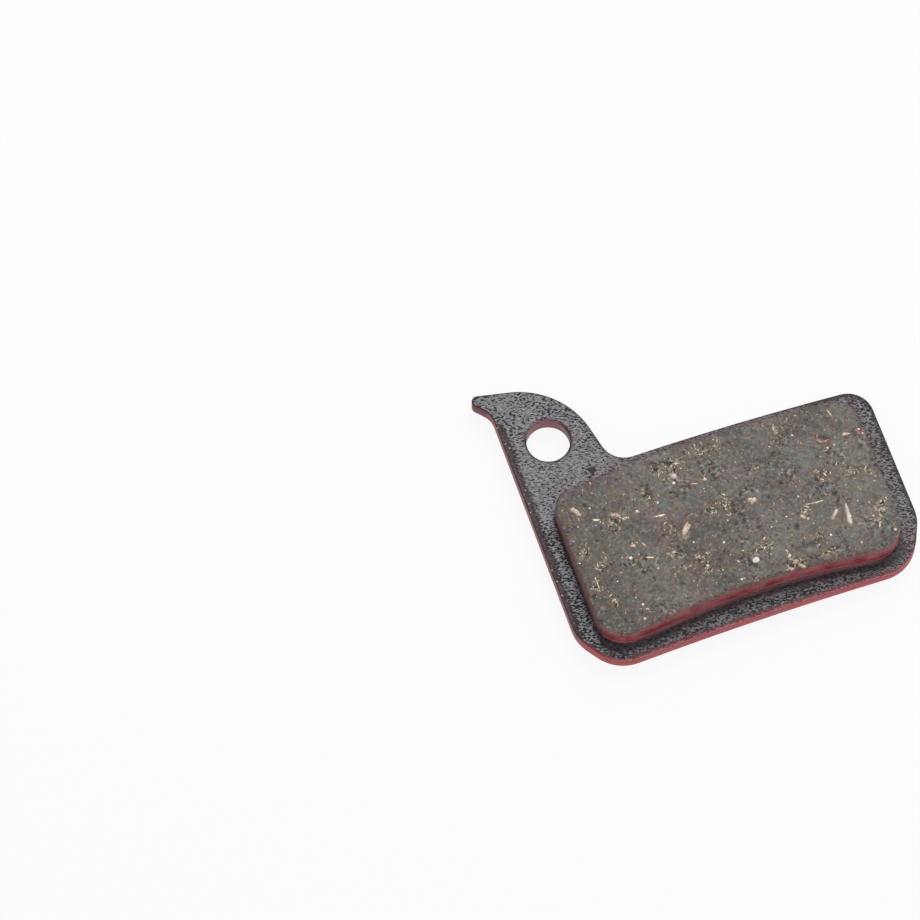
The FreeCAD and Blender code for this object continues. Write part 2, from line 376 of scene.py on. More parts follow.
coat = layered(mix(dark_fleck, grey, mix(near_side, paint(22, 20, 23), paint(29, 26, 29))), [
    (rust, 0.6, paint(104, 62, 64)),
    (rim_line, 0.85, paint(44, 40, 43)),
    (warm_share, ramp(from_foot, 1.5, 0.5), paint(102, 82, 87)),
    (bond_line_and_shadow, scaled(far_side, -0.7, 0.92), strip_colour),
    (foot_red, 0.9, paint(188, 134, 139)),
    (smudge, 1.0, paint(38, 31, 40)),
    (left_rim, 0.92, left_rim_colour),
    (right_rim, 0.84, paint(44, 38, 39)),
    (wrap, 0.85, paint(102, 60, 63)),
    (hole_ring, 0.8, paint(40, 36, 40))])

sprayed_side = scaled(nx, spray_from[0], times(ny, spray_from[1]))
edge_shade = times(ramp(z, 0.45, 1.1), ramp(nz, -0.6, -0.2))
rolled = times(ramp(z, 0.5, 0.2), ramp(nz, -0.97, -0.75))
# Painted shade on the underside of the hook, which faces away from the lamp; its upper part also gets a
# near-black mottle
hook_underside_shade = times(ramp(y, 4.2, 4.8), ramp(nx, -0.3, -0.6))
hook_mottle = times(hook_underside_shade, ramp(scaled(fleck, 1.6, z), 1.70, 2.10))
in_hole = ramp(from_pin, 0.2, 0.16)
# Painted shade deeper down the pin hole's wall, where less light reaches
hole_shade = times(in_hole, ramp(z, 1.3, 0.3))
# Painted shade on the plate's left-facing edge faces, the side away from the lamp
left_edge_shade = times(ramp(z, 0.5, 1.25), ramp(ny, -0.5, -0.2), ramp(nx, -0.3, -0.7), ramp(y, 4.6, 4.0))
turned_up = times(ramp(z, 1.40, 1.62), ramp(nz, 0.998, 0.96))
turned_grey = times(turned_up, ramp(nx, -0.6, -0.3))
left_break = larger(ramp(ny, -0.45, -0.2), ramp(y, 4.2, 4.8))
red_colour = layered(red["Color"], [
    (edge_shade, 0.8, paint(148, 28, 42)),
    (rolled, 0.55, paint(160, 50, 61)),
    (hook_underside_shade, 0.7, paint(104, 34, 45)),
    (hook_mottle, 0.8, paint(50, 22, 27)),
    (in_hole, 0.55, paint(138, 104, 112)),
    (hole_shade, 0.4, paint(92, 56, 64)),
    (left_edge_shade, 0.88, paint(76, 42, 46)),
    (times(turned_grey, ramp(coarse_fleck, 0.44, 0.56)), 0.75, paint(172, 132, 136)),
    (times(turned_grey, ramp(coarse_fleck, 0.46, 0.38)), 0.7, paint(92, 58, 62)),
    (turned_up, ramp(sprayed_side, 0.22, -0.05), paint(40, 35, 38)),
    (times(left_break, ramp(nx, -0.05, -0.3), turned_up), 0.8, paint(46, 36, 38))])
flat_front = ramp(nz, 0.95, 0.995)
sprayed_part = minus(1.0, flat_front)
chip_zone = times(ramp(z, 1.3, 1.6), ramp(nz, 0.999, 0.98))
chip_zone = larger(chip_zone, times(left_rim, ramp(z, 1.75, 1.79)))
chip = times(ramp(mottle(spot, 3.4, 7.0, 0.0), 0.74, 0.78), chip_zone)
colour = mix(flat_front, red_colour, coat)
feed(shader["Base Color"], mix(chip, colour, paint(180, 164, 154)))
coat_rough = scaled(dark_fleck, 0.15, 0.45)
feed(shader["Roughness"], plus(times(coat_rough, flat_front), times(red["Roughness"], sprayed_part)))
height = plus(times(fleck, flat_front), times(red["Height"], sprayed_part))
feed(shader["Normal"], relief(height, 0.00003))
shader["Specular IOR Level"].default_value = 0.25
for place_slot in plate.material_slots:
    place_slot.material = plate_finish


# Friction block
# One moulding of semi-metallic compound, pressed hot onto the plate so that it flows into the keying holes
# as plugs. Its face is ground flat, its top edge crumbles, and red overspray covers its side walls.
face_height = 4.0
binder_sink = 0.014
wall_lean = math.tan(math.radians(2.0))
outline_step = 0.02
plug_radius = 2.55
plug_end = 0.04
plug_sides = 48
plug_centres = [(2.58, -17.58), (2.58, -9.87), (23.12, -17.58), (23.12, -9.87)]
stain_spread = 0.4
cavity_depth = 0.06
dab_centre = (27.45, -9.35)


def corner_centre(side, inward, centre, reach):
    """Centre of a corner round between a side line and a long edge."""
    cx = side + inward
    return cx, centre[1] + math.sqrt(reach ** 2 - (cx - centre[0]) ** 2)


def bend(centre, radius, start, end, outward=1.0):
    """Fine points along an arc, with their outward normals."""
    steps = max(3, int(abs(end - start) * radius / outline_step))
    angles = np.linspace(start, end, steps)
    normals = np.column_stack([np.cos(angles), np.sin(angles)])
    return np.hstack([np.array(centre) + normals * radius, normals * outward])


def straight(side, start, end, outward):
    """Fine points along a side line, with their outward normals."""
    ys = np.linspace(start, end, int(abs(end - start) / outline_step))
    return np.column_stack([np.full(len(ys), side), ys, np.full(len(ys), outward), np.zeros(len(ys))])


def resample(side, shares):
    """Points of one side of the outline at shares of its length."""
    length = np.concatenate([[0.0], np.cumsum(np.hypot(*np.diff(side[:, :2], axis=0).T))])
    rows = np.column_stack([np.interp(shares * length[-1], length, side[:, k]) for k in range(4)])
    rows[:, 2:] /= np.linalg.norm(rows[:, 2:], axis=1)[:, None]
    return rows


def spacing(length, fine, coarse, border):
    """Shares of a length, stepped finely near its two ends."""
    near_end = np.arange(0.0, border, fine)
    middle = np.linspace(border, length - border, int((length - 2 * border) / coarse))
    return np.concatenate([near_end, middle, (length - near_end)[::-1]]) / length


def bearing(origin, towards):
    """Angle from one point to another."""
    return math.atan2(towards[1] - origin[1], towards[0] - origin[0])


sw = corner_centre(block_left, block_inner_corner, inner_centre, block_inner_sweep + block_inner_corner)
se = corner_centre(block_right, -block_inner_corner, inner_centre, block_inner_sweep + block_inner_corner)
ne = corner_centre(block_right, -block_outer_corner, outer_centre, block_outer_sweep - block_outer_corner)
nw = corner_centre(block_left, block_outer_corner, outer_centre, block_outer_sweep - block_outer_corner)
eighth = math.pi / 4
south = np.vstack([
    bend(sw, block_inner_corner, -3 * eighth, bearing(sw, inner_centre)),
    bend(inner_centre, block_inner_sweep, bearing(inner_centre, sw), bearing(inner_centre, se), -1.0),
    bend(se, block_inner_corner, bearing(se, inner_centre), -eighth)])
east = np.vstack([
    bend(se, block_inner_corner, -eighth, 0.0),
    straight(block_right, se[1], ne[1], 1.0),
    bend(ne, block_outer_corner, 0.0, eighth)])
north = np.vstack([
    bend(nw, block_outer_corner, 3 * eighth, bearing(outer_centre, nw)),
    bend(outer_centre, block_outer_sweep, bearing(outer_centre, nw), bearing(outer_centre, ne)),
    bend(ne, block_outer_corner, bearing(outer_centre, ne), eighth)])
west = np.vstack([
    bend(sw, block_inner_corner, -3 * eighth, -4 * eighth),
    straight(block_left, sw[1], nw[1], -1.0),
    bend(nw, block_outer_corner, 4 * eighth, 3 * eighth)])
across = spacing(30.0, fine=0.06, coarse=0.12, border=0.5)
along = spacing(16.0, fine=0.06, coarse=0.12, border=0.5)
south, north = resample(south, across), resample(north, across)
west, east = resample(west, along), resample(east, along)
loop_foot = np.vstack([south[:-1], east[:-1], north[:0:-1], west[:0:-1]])
top_inset = wall_lean * (face_height - plate_front)
s, n, w, e = [side[:, :2] - side[:, 2:] * top_inset for side in (south, north, west, east)]
u = across[:, None, None]
v = along[None, :, None]
flat_corners = (1 - u) * (1 - v) * s[0] + u * (1 - v) * s[-1] + (1 - u) * v * n[0] + u * v * n[-1]
grid = (1 - v) * s[:, None] + v * n[:, None] + (1 - u) * w[None] + u * e[None] - flat_corners
wide, deep = grid.shape[:2]
face_points = np.column_stack([grid.reshape(-1, 2), np.full(wide * deep, face_height - binder_sink)])
index = np.arange(wide * deep).reshape(wide, deep)
loop = np.concatenate([index[:-1, 0], index[-1, :-1], index[:0:-1, -1], index[0, :0:-1]])


def plan_distance(points):
    """Distance outside the face's outline in plan, negative inside."""
    side_gap = np.maximum(block_left - points[:, 0], points[:, 0] - block_right)
    outer_gap = np.hypot(*(points[:, :2] - outer_centre).T) - block_outer_sweep
    inner_gap = block_inner_sweep - np.hypot(*(points[:, :2] - inner_centre).T)
    round_off = np.where(inner_gap > outer_gap, block_inner_corner, block_outer_corner)
    a = side_gap + round_off
    b = np.maximum(outer_gap, inner_gap) + round_off
    away = np.hypot(np.maximum(a, 0), np.maximum(b, 0)) + np.minimum(np.maximum(a, b), 0) - round_off
    return away + top_inset


def rough_noise(points, scale, seed):
    """Noise of about -1 to 1 at each point, with scale patches to the millimetre."""
    shift = Vector((seed * 7.3, seed * 3.1, seed * 5.7))
    return np.array([noise.noise(Vector(p) * scale + shift) for p in points])


def chip_size(points):
    """How deep the top edge has crumbled beside each point, in millimetres."""
    fine = np.maximum(rough_noise(points * (1, 1, 0), 2.3, 1), 0)
    broad = np.maximum(rough_noise(points * (1, 1, 0), 0.7, 2), 0)
    torn = np.exp(-((points[:, 0] - 17.5) / 3.5) ** 2) * (points[:, 1] < -18)
    return 0.05 + 0.22 * fine + 0.22 * broad + 0.25 * torn * (0.4 + fine)


picker = random.Random(11)
inside = -plan_distance(face_points)
crumble = np.maximum(chip_size(face_points) - inside, 0)
drop = crumble * (0.75 + 0.35 * rough_noise(face_points, 6.0, 3))
drop += 0.006 * rough_noise(face_points, 3.6, 4) + 0.004 * rough_noise(face_points, 0.8, 5)
for _ in range(170):
    pit = (picker.uniform(block_left, block_right), picker.uniform(-21.5, -5.0))
    size = picker.uniform(0.10, 0.20) * (1.8 if picker.random() < 0.15 else 1.0)
    away = np.hypot(face_points[:, 0] - pit[0], (face_points[:, 1] - pit[1]) * picker.uniform(0.6, 1.5))
    drop = np.maximum(drop, picker.uniform(0.04, 0.10) * np.clip(1.6 - 1.6 * away / size, 0, 1))
# Each groove has its start, its end, its width and its depth.
grooves = [
    ((17.6, -18.6), (19.6, -18.5), 0.24, 0.04), ((6.8, -8.1), (6.4, -9.1), 0.14, 0.07),
    ((20.2, -17.6), (19.9, -18.4), 0.16, 0.05), ((23.7, -8.7), (24.1, -9.0), 0.2, 0.07),
    ((16.5, -19.9), (16.7, -20.1), 0.16, 0.08), ((17.1, -20.2), (17.7, -19.9), 0.16, 0.08),
    ((16.0, -19.7), (16.3, -19.5), 0.14, 0.07)]
for start, end, width, depth in grooves:
    run = np.subtract(end, start)
    share = np.clip((face_points[:, :2] - start) @ run / (run @ run), 0, 1)
    gap = np.hypot(*(face_points[:, :2] - start - share[:, None] * run).T)
    gap += 0.06 * np.sin(share * 13.0)
    drop = np.maximum(drop, depth * np.clip(1.3 - gap / width, 0, 1))
face_points[:, 2] = np.minimum(face_points[:, 2] - drop, face_height)
# Pits and grooves get a mark that darkens them: painted shade in the hollows, with the dust that lies there
hollow_shade_and_dust = np.clip((drop - crumble) / cavity_depth, 0, 1)
tufts = [
    (9.3, -7.6), (8.2, -7.0), (10.1, -6.9), (11.6, -6.1), (12.6, -6.5), (14.0, -6.8), (6.3, -9.1),
    (3.0, -10.3), (2.4, -11.2), (7.2, -13.2), (12.7, -11.8), (11.3, -12.3), (6.8, -15.2), (8.8, -16.4),
    (9.3, -17.5), (6.7, -16.9), (0.4, -14.4), (-0.9, -16.0), (0.1, -18.1), (-1.0, -12.7), (15.1, -17.4),
    (16.9, -19.6), (19.5, -15.5), (20.1, -18.1), (20.2, -19.7), (22.3, -12.3), (24.9, -12.8),
    (26.4, -13.2), (26.5, -16.8), (26.0, -17.6), (19.8, -6.7), (13.0, -12.5)]
stain = np.zeros(len(face_points))
for tuft in tufts:
    stain += np.exp(-np.sum((face_points[:, :2] - tuft) ** 2, axis=1) / stain_spread)
loop_normals = np.column_stack([loop_foot[:, 2:], np.zeros(len(loop_foot))])
face_points[loop] -= loop_normals * (0.5 * crumble[loop])[:, None]
face_points[loop, 2] += 0.5 * crumble[loop]
points = [face_points]
faces = []
for i in range(wide - 1):
    for j in range(deep - 1):
        faces.append((index[i, j], index[i + 1, j], index[i + 1, j + 1], index[i, j + 1]))


def add_ring(upper, ring_points):
    """Adds a ring of points under another, with the faces between them; returns its point numbers."""
    start = sum(map(len, points))
    lower = np.arange(start, start + len(ring_points))
    points.append(ring_points)
    for k in range(len(lower)):
        faces.append((upper[k - 1], lower[k - 1], lower[k], upper[k]))
    return lower


def plug_ring(centre, radius, height):
    """Points round a plug at one height."""
    turns = np.linspace(0, 2 * math.pi, plug_sides, endpoint=False)
    return np.column_stack([centre[0] + radius * np.cos(turns), centre[1] + radius * np.sin(turns),
                            np.full(plug_sides, height)])


# Rows of points down the walls lie close together near the crumbled edge, and the last is sunk in the plate.
wall_depths = np.concatenate([np.arange(0.06, 0.55, 0.06), np.arange(0.65, 2.2, 0.12), [2.21]])
ring = loop
for depth in wall_depths:
    wall_z = face_height - depth
    wall = np.column_stack([loop_foot[:, :2] - loop_foot[:, 2:] * wall_lean * (wall_z - plate_front),
                            np.full(len(loop_foot), wall_z)])
    bite = np.maximum(chip_size(wall) - depth, 0) * 0.8
    bite += 0.016 * (1 + rough_noise(wall, 2.0, 6)) + 0.010 * (1 + rough_noise(wall, 5.0, 7))
    ring = add_ring(ring, wall - loop_normals * bite[:, None])
under_z = points[-1][0, 2]
under = [Vector(p[:2]) for p in points[-1]]
under_loops = [(k, (k + 1) % len(under)) for k in range(len(under))]
first_circle = sum(map(len, points))
for centre in plug_centres:
    circle = plug_ring(centre, plug_radius, under_z)
    start = len(under)
    under.extend(Vector(p[:2]) for p in circle)
    under_loops.extend((start + k, start + (k + 1) % plug_sides) for k in range(plug_sides))
    points.append(circle)
flat, _, fills, origins, _, _ = geometry.delaunay_2d_cdt(under, under_loops, [], 1, 1e-6)
for fill in fills:
    middle = sum((flat[k] for k in fill), Vector((0, 0))) / 3
    if all(math.hypot(middle.x - cx, middle.y - cy) > plug_radius * 0.99 for cx, cy in plug_centres):
        ids = [origins[k][0] for k in fill]
        ids = [ring[k] if k < len(ring) else first_circle + k - len(ring) for k in ids]
        faces.append(tuple(ids[::-1]))
plug_rings = [(plug_radius, 0.08), (plug_radius - 0.08, 0.055), (2.3, plug_end + 0.008), (1.5, plug_end),
              (0.7, plug_end)]
for number, centre in enumerate(plug_centres):
    ring = np.arange(plug_sides) + first_circle + number * plug_sides
    for radius, plug_z in plug_rings:
        ring = add_ring(ring, plug_ring(centre, radius, plug_z))
    tip = sum(map(len, points))
    points.append(np.array([[*centre, plug_end]]))
    for k in range(plug_sides):
        faces.append((ring[k - 1], tip, ring[k]))


def new_piece(name, vertices, polygons, material):
    """Smooth mesh piece from points in millimetres."""
    mesh = bpy.data.meshes.new(name)
    mesh.from_pydata((np.asarray(vertices) * 0.001).tolist(), [], polygons)
    mesh.polygons.foreach_set("use_smooth", [True] * len(mesh.polygons))
    mesh.materials.append(material)
    piece = bpy.data.objects.new(name, mesh)
    bpy.context.scene.collection.objects.link(piece)
    return piece


def write_mark(piece, name, values):
    """Stores values at the first points of a piece's mesh, and 0 at the rest."""
    marks = np.zeros(len(piece.data.vertices), dtype=np.float32)
    marks[:len(values)] = values
    piece.data.attributes.new(name, "FLOAT", "POINT").data.foreach_set("value", marks)


def read_mark(tree, name):
    """Value that is stored at the points of the mesh."""
    node = tree.nodes.new("ShaderNodeAttribute")
    node.attribute_name = name
    return node.outputs["Fac"]


compound_finish, tree, shader = new_material("compound_finish")
spot = millimetres(tree)
x, y, z = split(spot)
nx, ny, nz = facing(tree)
from_foot = place(foot_distance, spot)["Distance"]
red = place(red_paint, spot)
swirl = tree.nodes.new("ShaderNodeTexNoise")
feed(swirl.inputs["Vector"], spot)
swirl.inputs["Scale"].default_value = 0.9
wandering = tree.nodes.new("ShaderNodeVectorMath")
wandering.operation = "MULTIPLY_ADD"
feed(wandering.inputs[0], swirl.outputs["Color"])
wandering.inputs[1].default_value = (1.6, 1.6, 1.6)
feed(wandering.inputs[2], spot)
lumps = tree.nodes.new("ShaderNodeTexVoronoi")
feed(lumps.inputs["Vector"], wandering.outputs[0])
lumps.inputs["Scale"].default_value = 0.62
lump_tint = tree.nodes.new("ShaderNodeSeparateColor")
feed(lump_tint.inputs[0], lumps.outputs["Color"])
lump_red, lump_green, lump_blue = lump_tint.outputs[:3]
hue = mottle(spot, 1.0, 25.0)
slow = mottle(spot, 0.18, 19.0)
lump = mottle(spot, 1.2, 20.0, 1.0)
grit = mottle(spot, 4.2, 8.0, 3.0)
grind = mottle(stretched(spot, -38.0, 0.45, 5.5), 1.0, 9.0)
stained = read_mark(tree, "stain")
crowd = larger(times(ramp(mottle(spot, 0.45, 10.0, 3.0), 0.47, 0.62), 0.7), stained)
halo = times(stained, ramp(mottle(spot, 1.9, 22.0), 0.44, 0.62))
crumb = mottle(wandering.outputs[0], 2.6, 15.0)
pale_fleck = times(ramp(mottle(spot, 2.9, 17.0, 1.0), 0.56, 0.68), crowd)
pink_fleck = times(ramp(mottle(spot, 2.4, 18.0, 1.0), 0.63, 0.74), crowd)
brown = ramp(mottle(spot, 0.8, 11.0), 0.56, 0.72)
unsprayed = larger(ramp(y, -8.5, -6.5), ramp(x, 26.0, 27.3))
edge_dust = ramp(scaled(from_foot, 0.30, mottle(spot, 3.4, 24.0)), 0.42, 0.52)
dust_colour = mix(unsprayed, paint(108, 74, 72), paint(96, 70, 66))
dab_reach = diagonal(times(minus(x, dab_centre[0]), 2.4), minus(y, dab_centre[1]))
dab = ramp(scaled(grit, 0.8, dab_reach), 1.05, 0.75)
near_wall = ramp(ny, -0.1, -0.75)
on_wall = ramp(nz, 0.7, 0.3)
# Side walls darken towards their foot: painted shade in the crease with the plate
wall_foot_shade = mix(near_wall, paint(60, 44, 44), paint(70, 52, 52))
wall_top = layered(mix(near_wall, paint(99, 82, 78), paint(138, 112, 107)), [
    (ramp(grit, 0.50, 0.40), 0.7, paint(72, 54, 50)),
    (ramp(grit, 0.52, 0.64), 0.4, paint(164, 140, 131))])
body = layered(mix(ramp(lump_red, 0.2, 0.9), paint(112, 112, 107), paint(120, 118, 114)), [
    (ramp(lump_green, 0.55, 0.75), 0.55, paint(106, 111, 105)),
    (ramp(lump_blue, 0.68, 0.82), 0.8, paint(126, 108, 111)),
    (ramp(hue, 0.50, 0.64), 0.7, paint(107, 113, 106)),
    (ramp(hue, 0.45, 0.34), 0.9, paint(126, 107, 94)),
    (ramp(slow, 0.52, 0.36), 0.6, paint(92, 87, 82)),
    (ramp(slow, 0.50, 0.66), 0.6, paint(132, 127, 120)),
    (ramp(lump, 0.50, 0.30), 0.40, paint(86, 81, 76)),
    (ramp(lump, 0.50, 0.70), 0.34, paint(140, 135, 127)),
    (ramp(x, 7.0, -1.0), 0.55, paint(92, 86, 81)),
    (ramp(grit, 0.50, 0.32), 0.54, paint(66, 62, 57)),
    (ramp(grit, 0.50, 0.70), 0.48, paint(162, 156, 148)),
    (ramp(grind, 0.55, 0.32), 0.25, paint(78, 75, 69)),
    (halo, 0.5, paint(130, 106, 80)),
    (read_mark(tree, "smear"), 0.33, paint(132, 114, 80)),
    (ramp(crumb, 0.49, 0.42), crowd, paint(38, 28, 18)),
    (pale_fleck, 0.8, paint(186, 177, 163)),
    (pink_fleck, 0.6, paint(172, 146, 134)),
    (brown, 0.35, paint(112, 88, 72)),
    (edge_dust, scaled(unsprayed, -0.1, 0.65), dust_colour),
    (dab, 0.6, paint(150, 62, 66)),
    (read_mark(tree, "hollow_shade_and_dust"), 0.65, paint(48, 43, 40)),
    (on_wall, 0.8, mix(ramp(z, 3.4, 1.9), wall_top, wall_foot_shade))])
painted = ramp(scaled(grit, 8.0, z), 7.80, 7.05)
side_share = scaled(ramp(nx, -0.2, -0.8), 0.14, 0.05)
side_share = larger(side_share, times(near_wall, 0.97))
plug_mask = ramp(z, 1.7, 1.6)
overspray = larger(times(painted, on_wall, side_share), plug_mask)
streak = mottle(spot, 0.7, 16.0, 3.0)
wall_red = mix(ramp(streak, 0.35, 0.65), paint(146, 54, 64), paint(190, 102, 110))
wall_red = mix(plug_mask, wall_red, red["Color"])
foot_grey = times(ramp(z, 2.2, 1.85), near_wall, ramp(z, 1.7, 1.78))
finish = mix(overspray, body, wall_red)
feed(shader["Base Color"], mix(times(foot_grey, 0.9), finish, paint(196, 128, 134)))
feed(shader["Roughness"], scaled(grit, 0.2, 0.55))
feed(shader["Normal"], relief(plus(grit, times(grind, 0.5)), 0.00004))
shader["Specular IOR Level"].default_value = 0.22

block = new_piece("friction_block_dressed", np.vstack(points), faces, compound_finish)
write_mark(block, "hollow_shade_and_dust", hollow_shade_and_dust)
write_mark(block, "stain", np.minimum(stain, 1.0))
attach(block, "root")
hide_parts("friction_block")


# Brass fibres
# Chopped brass wool mixed into the compound to carry heat. The grinding wheel leaves the fibres
# flush with the face, as bright curled slivers that lie in loose tufts. Two have fallen on the plate.
metal_sink = 0.012
metal_level = face_height - metal_sink
fallen_level = plate_front + 0.02
face_span = (-22.0, -5.0)
fibre_step = 0.16
fibre_section = ((-1.0, -0.05), (-0.7, 0.008), (0.7, 0.008), (1.0, -0.05), (0.0, -0.09))


def sliver(store, x, y, length, width, angle, curl, base=metal_level, wobble=0.05, teeth=0.0):
    """Adds one flattened fibre to the lists of points and faces; teeth make its edges jagged."""
    vertices, polygons = store
    steps = max(4, int(length / fibre_step))
    heading = math.radians(angle) - curl / 2
    px = x - 0.5 * length * math.cos(heading + curl / 2)
    py = y - 0.5 * length * math.sin(heading + curl / 2)
    tilt = picker.uniform(-0.35, 0.35)
    start = len(vertices)
    for k in range(steps + 1):
        share = k / steps
        half = width / 2 * math.sqrt(max(0.02, 1 - (2 * share - 1) ** 4)) * picker.uniform(0.8, 1.1)
        half *= 1 + teeth * (-1) ** k + 2 * teeth * (0.5 - share)
        across_x, across_y = -math.sin(heading), math.cos(heading)
        for offset, rise in fibre_section:
            lift = min(rise + tilt * offset * half * 0.25, metal_sink)
            vertices.append((px + across_x * offset * half, py + across_y * offset * half, base + lift))
        px += math.cos(heading) * length / steps
        py += math.sin(heading) * length / steps
        heading += curl / steps + picker.uniform(-wobble, wobble)
    sides = len(fibre_section)
    for k in range(steps):
        for c in range(sides):
            a, b = start + k * sides + c, start + k * sides + (c + 1) % sides
            polygons.append((a, b, b + sides, a + sides))
    polygons.append(tuple(start + c for c in range(sides))[::-1])
    polygons.append(tuple(start + steps * sides + c for c in range(sides)))


def on_face(x, y, margin):
    """True where a point lies on the friction face, clear of its edge."""
    return plan_distance(np.array([[x, y, 0.0]]))[0] < -margin


def scatter(number, margin):
    """Random places on the friction face, clear of its edge."""
    while number:
        px, py = picker.uniform(block_left, block_right), picker.uniform(*face_span)
        if on_face(px, py, margin):
            yield px, py
            number -= 1


# Dull and bright copies of each metal, mixed by noise: tarnish, with painted glints that stand in for
# reflections
worn_and_glinting_metal, spot, out = new_group("worn_and_glinting_metal", [("Shade", "NodeSocketFloat"),
                                                 ("Roughness", "NodeSocketFloat")])
tarnish_and_glint = mottle(spot, 1.9, 12.0, 1.0)
scratched = scaled(mottle(spot, 6.0, 26.0), 0.6, -0.3)
feed(out["Shade"], ramp(plus(tarnish_and_glint, scratched), 0.34, 0.70))
feed(out["Roughness"], scaled(tarnish_and_glint, 0.3, 0.28))


def metal_finish(name, dull, bright):
    """Metal whose tarnish and painted glints change from one sliver to the next."""
    material, tree, shader = new_material(name)
    spot = millimetres(tree)
    worn_and_glint = place(worn_and_glinting_metal, spot)
    feed(shader["Base Color"], mix(worn_and_glint["Shade"], dull, bright))
    feed(shader["Roughness"], worn_and_glint["Roughness"])
    feed(shader["Normal"], relief(mottle(spot, 9.0, 13.0), 0.00001))
    shader["Metallic"].default_value = 1.0
    return material


brass = ([], [])
# Each fibre has its place, its length, its width, its angle in degrees and its curl in radians.
placed_fibres = [
    (6.8, -11.3, 1.5, 0.36, -3, 0.4), (5.0, -10.3, 0.6, 0.46, -26, 0.1), (10.1, -6.9, 0.85, 0.28, -13, 0.1),
    (8.1, -7.4, 1.15, 0.16, 68, 0.6), (4.5, -13.6, 0.8, 0.24, -58, 0.1), (4.6, -15.0, 0.85, 0.28, -12, 0.1),
    (3.7, -7.8, 0.5, 0.18, 16, 0.1), (0.9, -6.8, 0.7, 0.14, 74, 0.2), (-0.9, -15.9, 1.4, 0.17, 90, 0.4),
    (-0.3, -14.6, 0.8, 0.15, -34, 0.1), (0.1, -18.0, 0.4, 0.30, 80, 0.2), (16.9, -9.7, 0.7, 0.22, 6, 0.6),
    (21.7, -8.8, 0.6, 0.15, -72, -0.5), (21.5, -8.6, 0.3, 0.12, 20, 0.1), (19.8, -6.5, 0.5, 0.20, 87, 0.1),
    (19.9, -7.0, 0.3, 0.26, 60, 0.1), (24.9, -12.9, 1.4, 0.14, -2, -0.9), (26.3, -13.3, 0.9, 0.14, 89, 0.5),
    (20.9, -14.7, 2.0, 0.24, -2, 0.3), (20.0, -14.9, 0.7, 0.22, -30, 0.3), (25.7, -18.8, 0.8, 0.24, 68, 0.1),
    (17.2, -13.7, 0.5, 0.15, 72, 0.1), (15.4, -17.5, 0.9, 0.20, 7, -0.6), (14.3, -13.4, 0.5, 0.15, 10, 0.1),
    (9.5, -12.2, 0.8, 0.10, 18, 0.2), (26.6, -16.6, 0.4, 0.30, 40, 0.2), (26.1, -17.5, 0.4, 0.22, 80, 0.2)]
for row in placed_fibres:
    sliver(brass, *row)
sliver(brass, -3.0, -18.1, 0.45, 0.12, 70, 0.3, fallen_level)
sliver(brass, -2.8, -18.4, 0.3, 0.1, 20, 0.3, fallen_level)
for tuft_x, tuft_y in tufts:
    for _ in range(picker.randint(6, 12)):
        px, py = picker.gauss(tuft_x, 0.45), picker.gauss(tuft_y, 0.45)
        if on_face(px, py, margin=0.3):
            sliver(brass, px, py, picker.uniform(0.15, 0.6), picker.uniform(0.10, 0.22),
                   picker.uniform(0, 180), picker.uniform(-2.2, 2.2))
for px, py in scatter(130, margin=0.3):
    sliver(brass, px, py, picker.uniform(0.10, 0.40), picker.uniform(0.08, 0.17), picker.uniform(0, 180),
           picker.uniform(-1.6, 1.6))
brass_finish = metal_finish("brass_finish", paint(112, 107, 95), paint(180, 173, 157))
fibres = new_piece("brass_fibres", *brass, brass_finish)
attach(fibres, "root")


# Copper flakes
# Flat copper turnings in the compound, up to 2.5 mm long, two of them pale and one curled. The grinding
# cuts them through to ragged patches, and smears a little of the metal over the binder beside them.
flake_top = face_height - 0.002
curl_level = face_height - 0.006
smear_reach = 0.24


def close_dome(polygons, start, sides):
    """Adds the faces of a low dome, made of three rings of points and a middle one, with a flat bottom."""
    for level in range(2):
        for k in range(sides):
            a, b = start + level * sides + k, start + level * sides + (k + 1) % sides
            polygons.append((a, b, b + sides, a + sides))
    for k in range(sides):
        polygons.append((start + 2 * sides + k, start + 2 * sides + (k + 1) % sides, start + 3 * sides))
    polygons.append(tuple(start + k for k in range(sides))[::-1])


def flake(store, x, y, length, width, angle):
    """Adds one ragged flake to the lists of points and faces."""
    vertices, polygons = store
    sides = 16
    ragged = [picker.uniform(0.70, 1.22) for _ in range(sides)]
    turn = math.radians(angle)
    tilt_x, tilt_y = picker.uniform(-0.02, 0.02), picker.uniform(-0.03, 0.03)
    start = len(vertices)
    for scale, rise in ((1.08, -0.07), (0.95, 0.002), (0.55, 0.008)):
        for k in range(sides):
            around = 2 * math.pi * k / sides
            lx = length / 2 * scale * ragged[k] * math.cos(around)
            ly = width / 2 * scale * ragged[k] * math.sin(around)
            lift = min(rise + tilt_x * lx + tilt_y * ly + picker.uniform(-0.005, 0.005), metal_sink)
            vertices.append((x + lx * math.cos(turn) - ly * math.sin(turn),
                             y + lx * math.sin(turn) + ly * math.cos(turn), metal_level + lift))
    vertices.append((x, y, flake_top))
    close_dome(polygons, start, sides)


copper = ([], [])
bars = ([], [])
curled = ([], [])
sliver(bars, 23.31, -16.87, 2.4, 0.62, 83, 0.0, wobble=0.0, teeth=0.16)
sliver(bars, 22.13, -16.46, 1.35, 0.50, 45, 0.0, wobble=0.0, teeth=0.10)
sliver(copper, 17.25, -19.77, 1.56, 0.30, 0, 5.2)
sliver(copper, 17.5, -20.0, 0.9, 0.26, 25, -0.6)
sliver(copper, 16.2, -20.2, 0.8, 0.22, 10, 0.3)
